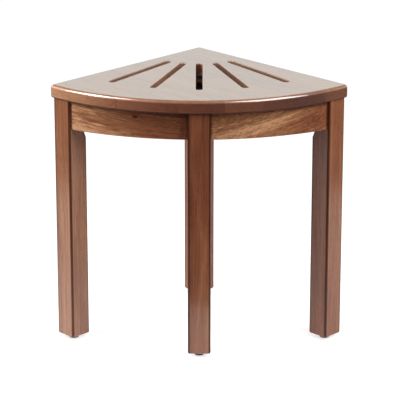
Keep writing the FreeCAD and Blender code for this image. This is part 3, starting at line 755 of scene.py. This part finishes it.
def lofted_panel():
    """The panel's mesh, and the exact normal of each of its points."""
    shape, normals, rims = bmesh.new(), [], []
    for row, rounding in outlines:
        rings = []
        for inset, height, sideways, upwards in edge_steps(*rounding):
            rings.append([shape.verts.new((*(point - (inset + MESH_SAG) * way), height)) for point, way in row])
            normals += [(*(sideways * way), upwards) for _, way in row]
        for low, high in zip(rings, rings[1:]):
            for k in range(len(row)):
                shape.faces.new((low[k - 1], low[k], high[k], high[k - 1]))
        rims.append((rings[0], rings[-1]))
    for level in (0, 1):
        rows = [rim[level] for rim in rims]
        edges = [shape.edges.get((row[k - 1], row[k])) for row in rows for k in range(len(row))]
        bmesh.ops.triangle_fill(shape, use_beauty=True, edges=edges, normal=(0, 0, 1 if level else -1))
    return mesh_from(shape, "panel"), normals


panel, panel_normals = lofted_panel()
panel.materials.append(seat_wood)
add_piece("slotted_seat_panel", panel, "stool", "seat_wood", "seat_panel")
panel.normals_split_custom_set_from_vertices(panel_normals)

# %% [markdown]
# ## The levelling feet
# Each foot is a threaded stem with a flange that sits in a black pad. Turned by hand, the pad drives
# the stem out of the brass insert. The stem takes the thread rule and a turned flange. The pad gets
# fine grip ribs round its rim: a row of small rods on a circle, made in Geometry Nodes, because ribs
# repeat. The ribs stay inside the CAD pad's radius.

# %% Threaded stems
FEET = {corner: middle_of(corner + "_foot_stem") for corner in CORNERS}
M8_THREAD = {"Radius": 0.0040, "Depth": 0.00068, "Pitch": 0.00125}
STEM_FOOT, STEM_TOP, FLANGE_RADIUS = 0.0040, 0.0330, 0.0056
stem_thread = grown(THREAD, {**M8_THREAD, "Length": STEM_TOP - STEM_FOOT, "Taper": 0.0004, "Rows": 188,
                             "Sides": 24})
stem_flange = lathe([(0, 0.0020), (0.0053, 0.0020), (FLANGE_RADIUS, 0.0023), (FLANGE_RADIUS, 0.0037),
                     (0.0053, STEM_FOOT), (0.0030, STEM_FOOT), (0, STEM_FOOT)], 32)
for corner, spot in FEET.items():
    stem = joined([(stem_thread, STEM_FOOT), (stem_flange, 0)], zinc_plate, spot)
    add_piece(corner + "_threaded_stem", stem, corner + "_stem", "zinc_steel", corner + "_foot_stem")


# %% Ribbed pads
def rib_tree():
    """Small upright rods on a circle."""
    count, circle, thick, tall, middle = new_tree("grip ribs", {
        "Count": "Int", "Circle radius": "Float", "Rib radius": "Float", "Rib height": "Float",
        "Middle height": "Float"})
    ring = count.make("GeometryNodeMeshCircle", {}, {"Vertices": count, "Radius": circle})
    lift = middle.vector(0.0, 0.0, middle)
    ring = ring.make("GeometryNodeSetPosition", {}, {"Geometry": ring, "Offset": lift})
    rib = thick.make("GeometryNodeMeshCylinder", {}, {"Vertices": 10, "Radius": thick, "Depth": tall}, "Mesh")
    ribs = ring.make("GeometryNodeInstanceOnPoints", {}, {"Points": ring, "Instance": rib})
    return end_tree(ribs)


RIM, SOCKET, BORE, PAD_TOP = 0.0086, 0.00565, 0.00405, 0.0066
pad_ribs = grown(rib_tree(), {"Count": 30, "Circle radius": RIM - 0.0002, "Rib radius": 0.00055,
                              "Rib height": 0.0044, "Middle height": 0.0033})
pad_body = lathe([(0, 0.0004), (0.0040, 0.0004), (0.0046, 0), (0.0076, 0), (RIM - 0.0003, 0.0003),
                  (RIM, 0.0009), (RIM, PAD_TOP - 0.0008), (RIM - 0.0003, PAD_TOP - 0.0002), (0.0078, PAD_TOP),
                  (BORE, PAD_TOP), (BORE, 0.0041), (SOCKET, 0.0041), (SOCKET, 0.0019), (0, 0.0019)], 60)
for corner, spot in FEET.items():
    pad = joined([(pad_body, 0), (pad_ribs, 0)], foot_plastic, spot)
    add_piece(corner + "_ribbed_pad", pad, corner + "_pad", "black_plastic", corner + "_foot_pad")

# %% [markdown]
# ## Bolts, nuts and screws at their CAD places
# The legs hang on hanger bolts: a coarse wood thread in the leg, and an M8 thread with a washer and
# nut behind the block. Their places are read from the CAD groups, so nothing is measured twice: each
# loose part of a group gives a middle, a direction and a length. One bolt, one nut and one screw are
# then put at all the places by a Geometry Nodes tree that turns each instance along a stored arrow.


# %% Read the places
def loose_parts(node):
    """The separate pieces of a CAD group, as arrays of points."""
    shape = bmesh.new()
    shape.from_mesh(stool[node].data)
    bmesh.ops.remove_doubles(shape, verts=shape.verts, dist=1e-6)
    parts, waiting = [], set(shape.verts)
    while waiting:
        edge, part = [waiting.pop()], []
        while edge:
            vertex = edge.pop()
            part.append(tuple(vertex.co))
            for link in vertex.link_edges:
                far = link.other_vert(vertex)
                if far in waiting:
                    waiting.remove(far)
                    edge.append(far)
        parts.append(np.array(sorted(part)))
    shape.free()
    return sorted(parts, key=lambda part: tuple(part.mean(0).round(5)))


def rod_of(part):
    """Where a rod's thicker end is, the way to its other end, and its length."""
    middle = (part.max(0) + part.min(0)) / 2
    way = np.linalg.svd(part - part.mean(0), full_matrices=False)[2][0]
    along = (part - middle) @ way
    thick = np.linalg.norm(part - middle - np.outer(along, way), axis=1)
    ends = [thick[along < along.min() + 1e-4].max(), thick[along > along.max() - 1e-4].max()]
    if ends[0] < ends[1]:
        way, along = -way, -along
    return middle + way * along.min(), way, along.max() - along.min()


bolt_rods = [rod_of(part) for part in loose_parts("hanger_bolts")]
screw_rods = {group: [rod_of(part) for part in loose_parts(group)] for group in ("block_screws", "seat_screws")}
nut_middles = [(part.max(0) + part.min(0)) / 2 for part in loose_parts("hanger_nuts")]
nut_ways = [min(bolt_rods, key=lambda rod: np.linalg.norm(rod[0] - middle))[1] for middle in nut_middles]
print(len(bolt_rods), "bolts,", len(nut_middles), "nuts,", [len(rods) for rods in screw_rods.values()], "screws")


# %% Put one shape at many places
def places_tree():
    """An object at every point, turned along the point's arrow."""
    points, shape = new_tree("hardware at its places", {"Points": "Geometry", "Shape": "Object"})
    info = shape.make("GeometryNodeObjectInfo", {}, {"Object": shape}, "Geometry")
    arrow = points.make("GeometryNodeInputNamedAttribute", {"data_type": "FLOAT_VECTOR"}, {"Name": "arrow"})
    turn = arrow.make("FunctionNodeAlignRotationToVector", {"axis": "Z"}, {"Vector": arrow})
    set_out = points.make("GeometryNodeInstanceOnPoints", {}, {"Points": points, "Instance": info,
                                                              "Rotation": turn})
    return end_tree(set_out)


PLACES = places_tree()


def put_at(mesh, spots, material):
    """One mesh at many places, each with an arrow, as one mesh."""
    master = add_object("master", mesh)
    points = bpy.data.meshes.new("places")
    points.from_pydata([tuple(place) for place, _ in spots], [], [])
    arrows = points.attributes.new("arrow", "FLOAT_VECTOR", "POINT")
    for item, (_, arrow) in zip(arrows.data, spots):
        item.vector = tuple(arrow)
    mesh = grown(PLACES, {"Shape": master}, points)
    bpy.data.objects.remove(master)
    return joined([(mesh, 0)], material)


print("places tree:", len(PLACES.nodes), "nodes")

# %% Hanger bolts
COARSE_THREAD = {"Radius": 0.0040, "Depth": 0.0010, "Pitch": 0.0032}
COARSE_PART, FINE_PART, BOLT_SHANK = 0.0300, 0.0160, 0.0037
bolt_length = bolt_rods[0][2]
coarse_start = bolt_length - COARSE_PART
fine = grown(THREAD, {**M8_THREAD, "Length": FINE_PART, "Taper": 0.0002, "Rows": 92, "Sides": 18})
coarse = grown(THREAD, {**COARSE_THREAD, "Length": COARSE_PART, "Taper": 0.0022, "Rows": 84, "Sides": 14})
shank = lathe([(0, FINE_PART - 0.0010), (0.0033, FINE_PART - 0.0010), (BOLT_SHANK, FINE_PART - 0.0005),
               (BOLT_SHANK, coarse_start + 0.0020), (0, coarse_start + 0.0020)], 20)
bolt = joined([(fine, 0), (shank, 0), (coarse, coarse_start)], zinc_plate)
bolts = put_at(bolt, [rod[:2] for rod in bolt_rods], zinc_plate)
add_piece("threaded_hanger_bolts", bolts, "stool", "zinc_steel", "hanger_bolts")

# %% [markdown]
# ## Nuts and screw heads
# A nut is a hexagon whose corners are turned off by a cone, so its chamfer shows as six arcs. Here the
# outline is a hexagon, and each point sinks by how far it stands outside the inner circle. The screws
# are pan heads with a cross recess, cut by a Boolean from one cross of two tapered bars.

# %% Chamfered nuts
NUT_FLAT, NUT_HALF, NUT_STEPS = 0.0075 * math.cos(math.pi / 6), 0.00325, 8
NUT_BORE, NUT_SINK, SINK_DEPTH = 0.0041, 0.0046, 0.0005
CHAMFER_MARGIN, CHAMFER_SLOPE = 0.0002, 0.55


def nut_profile(angle):
    """Radius and depth under the flat face, from the bore out to the hexagon's chamfered rim."""
    folded = (angle + math.pi / 6) % (math.pi / 3) - math.pi / 6
    rim = NUT_FLAT / math.cos(folded)
    return [(NUT_BORE, SINK_DEPTH), (NUT_SINK, 0), (NUT_FLAT - CHAMFER_MARGIN, 0),
            (rim, (rim - NUT_FLAT + CHAMFER_MARGIN) * CHAMFER_SLOPE)]


def nut_mesh():
    """A hexagon nut with chamfered corners and a countersunk bore."""
    sides = 6 * NUT_STEPS
    angles = [math.tau * k / sides for k in range(sides)]
    points = []
    for ring in range(4):
        for face in (-1, 1):
            for angle in angles:
                radius, drop = nut_profile(angle)[ring]
                points.append(on_circle(radius, angle, face * (NUT_HALF - drop)))
    order = [0, 2, 4, 6, 7, 5, 3, 1, 0]
    faces = [(a * sides + k, a * sides + (k + 1) % sides, b * sides + (k + 1) % sides, b * sides + k)
             for a, b in zip(order, order[1:]) for k in range(sides)]
    mesh = bpy.data.meshes.new("nut")
    mesh.from_pydata(points, [], faces)
    return mesh


nuts = put_at(nut_mesh(), list(zip(nut_middles, nut_ways)), zinc_plate)
add_piece("chamfered_nuts", nuts, "stool", "zinc_steel", "hanger_nuts", smooth=28)

# %% Cross-head screws
HEAD_RADIUS, HEAD_HEIGHT, RECESS_DEPTH = 0.0040, 0.0026, 0.0016
BAR_LENGTH, BAR_WIDTH = 0.0044, 0.0009
WORM_THREAD = {"Radius": 0.0020, "Depth": 0.00055, "Pitch": 0.0018}


def cross_cutter():
    """Two tapered bars that cross, to be cut out of a screw's head."""
    shape = bmesh.new()
    bar = Matrix.Diagonal((BAR_LENGTH, BAR_WIDTH, 2 * RECESS_DEPTH, 1))
    for turn in (0, 90):
        made = bmesh.ops.create_cube(shape, size=1.0, matrix=bar)["verts"]
        for vertex in made:
            if vertex.co.z > 0:
                vertex.co.x *= 0.45
                vertex.co.y *= 0.7
        bmesh.ops.rotate(shape, verts=made, cent=(0, 0, 0), matrix=Matrix.Rotation(math.radians(turn), 3, "Z"))
    return mesh_from(shape, "cross")


def cut_from(mesh, cutter):
    """A mesh with another one cut out of it."""
    blank, tool = add_object("blank", mesh), add_object("tool", cutter)
    cut = blank.modifiers.new("cut", "BOOLEAN")
    cut.object, cut.operation, cut.solver, cut.use_self = tool, "DIFFERENCE", "EXACT", True
    result = worked_out(blank)
    bpy.data.objects.remove(tool)
    return result


pan = lathe([(0, 0), (0.0016, 0.00003), (0.0027, 0.0003), (0.0034, 0.0008), (0.0038, 0.0015),
             (HEAD_RADIUS, 0.0022), (HEAD_RADIUS, HEAD_HEIGHT), (0, HEAD_HEIGHT)], 32)
head = cut_from(pan, cross_cutter())
for group, rods in screw_rods.items():
    bite = rods[0][2] - HEAD_HEIGHT
    worm = grown(THREAD, {**WORM_THREAD, "Length": bite, "Taper": 0.0012, "Sides": 12,
                          "Rows": int(bite / WORM_THREAD["Pitch"] * 7)})
    screw = joined([(head, 0), (worm, HEAD_HEIGHT)], yellow_plate)
    screws = put_at(screw, [rod[:2] for rod in rods], yellow_plate)
    add_piece("cross_head_" + group, screws, "stool", "screw_steel", group)

# %% [markdown]
# ## The sheet and the room
# The stool stands on a pale sheet in a bright studio. Two things have to be kept apart: what the camera
# sees as white, and how much light falls on the wood. So the sheet and the room are plain, and Light
# Path lifts them to white only for rays from the camera. Reflections see the pale sheet, bright and
# slightly cream walls behind the stool, and a dark ceiling. The room in front is dim, as it is behind a
# photographer, and that keeps the front faces deep in colour.

# %% Sheet and ground
SHEET_LIFT = 0.70


def ray_kinds(tree):
    """1 for rays from the camera, and 1 for those that come off a glossy surface or through a clear one."""
    camera = Wire(tree).make("ShaderNodeLightPath", output="Is Camera Ray")
    return camera, camera.other("Is Glossy Ray") + camera.other("Is Transmission Ray")


def flat_stage(name, low, high, height, grey, camera_lift, mirror_lift):
    """A level sheet, lifted to white for the camera and for reflections, and clear from underneath."""
    mesh = bpy.data.meshes.new(name)
    corners = [(low[0], low[1]), (high[0], low[1]), (high[0], high[1]), (low[0], high[1])]
    mesh.from_pydata([(x, y, height) for x, y in corners], [], [(0, 1, 2, 3)])
    sheet = add_object(name, mesh)
    material, tree = new_material(name)
    camera, mirror = ray_kinds(tree)
    paper = camera.make("ShaderNodeBsdfDiffuse", {}, {"Color": (grey, grey, grey, 1.0)})
    glow = camera.make("ShaderNodeEmission", {}, {"Strength": camera * camera_lift + mirror * mirror_lift})
    surface = paper.make("ShaderNodeAddShader", {}, {0: paper, 1: glow})
    behind = camera.make("ShaderNodeNewGeometry", output="Backfacing")
    clear = camera.make("ShaderNodeBsdfTransparent")
    surface = camera.make("ShaderNodeMixShader", {}, {0: behind, 1: surface, 2: clear})
    surface.make("ShaderNodeOutputMaterial", {}, {"Surface": surface})
    mesh.materials.append(material)


flat_stage("pale sheet", (-1.1, -0.43), (1.1, 1.3), height=0.0, grey=0.82,
           camera_lift=SHEET_LIFT, mirror_lift=SHEET_LIFT)
flat_stage("ground", (-16, -16), (16, 16), height=-0.012, grey=0.07, camera_lift=1.0, mirror_lift=0.0)
print("stage ready")

# %% Room
FRONT_LIGHT, BEHIND_LIGHT = 0.17, 0.25
FRONT_MIRRORED, BEHIND_MIRRORED = 0.05, 1.12
WHITE_WALLS, CREAM_WALLS = (1.0, 1.0, 1.0, 1.0), (1.0, 1.03, 1.0, 1.0)
world = bpy.data.worlds.new("studio room")
scene.world = world
world.use_nodes = True
world.node_tree.nodes.clear()
camera, mirror = ray_kinds(world.node_tree)
_, depth, height = camera.make("ShaderNodeTexCoord", output="Generated").axes()
behind, walls_only = depth.step(-0.45, 0.35), height.step(0.66, 0.46)
light = FRONT_LIGHT + (BEHIND_LIGHT - FRONT_LIGHT) * behind
mirrored = FRONT_MIRRORED + (BEHIND_MIRRORED - FRONT_MIRRORED) * behind * walls_only
level = camera + (1.0 - camera) * (light + (mirrored - light) * mirror)
paint = tint(WHITE_WALLS, mirror, CREAM_WALLS)
walls = camera.make("ShaderNodeBackground", {}, {"Color": paint, "Strength": level})
walls.make("ShaderNodeOutputWorld", {}, {"Surface": walls})
scene.view_settings.view_transform = "Standard"
print("room light", FRONT_LIGHT, "in front,", BEHIND_LIGHT, "behind")

# %% [markdown]
# ## Two tall softboxes
# The faces that look left and right are bright and those that look at the camera are not, so the light
# comes from both sides: two tall softboxes, left and right of the front and well above the seat. Their
# reflections draw the white lines along the seat's rounded edge.


# %% Softboxes
def softbox(name, place, towards, width, height, power):
    """A rectangular lamp that looks at a point and that the camera doesn't see."""
    light = bpy.data.lights.new(name, "AREA")
    light.shape, light.size, light.size_y, light.energy = "RECTANGLE", width, height, power
    lamp = add_object(name, light)
    lamp.location = place
    lamp.rotation_euler = (Vector(towards) - Vector(place)).to_track_quat("-Z", "Y").to_euler()
    lamp.visible_camera = False


softbox("left softbox", (-1.19, -0.48, 1.28), (-0.18, -0.13, 0.46), width=0.67, height=1.2, power=19.0)
softbox("right softbox", (0.897, -0.807, 1.371), (0.137, -0.158, 0.465), width=0.85, height=1.2, power=19.0)
print("two softboxes")

# %% [markdown]
# ## The camera
# The photograph looks at the stool squarely from the front and from far away, with a long lens, and
# down on the seat by about 18 degrees. The frame is a square of 400 pixels. A small vertical shift
# places the stool in the frame without tipping the camera further down.

# %% Camera
FRAME_PIXELS, FOCAL_PIXELS = 400, 2239.2
CAMERA_PLACE, LOOKS_DOWN = (0.0, -3.8143, 1.5151), 17.785
lens = bpy.data.cameras.new("camera")
lens.sensor_width = 36.0
lens.lens = FOCAL_PIXELS / FRAME_PIXELS * lens.sensor_width
lens.shift_x, lens.shift_y = 0.002, -0.077
camera_object = add_object("camera", lens)
camera_object.location = CAMERA_PLACE
camera_object.rotation_euler = (math.radians(90 - LOOKS_DOWN), 0, 0)
scene.camera = camera_object
print("lens", round(lens.lens, 1), "mm")
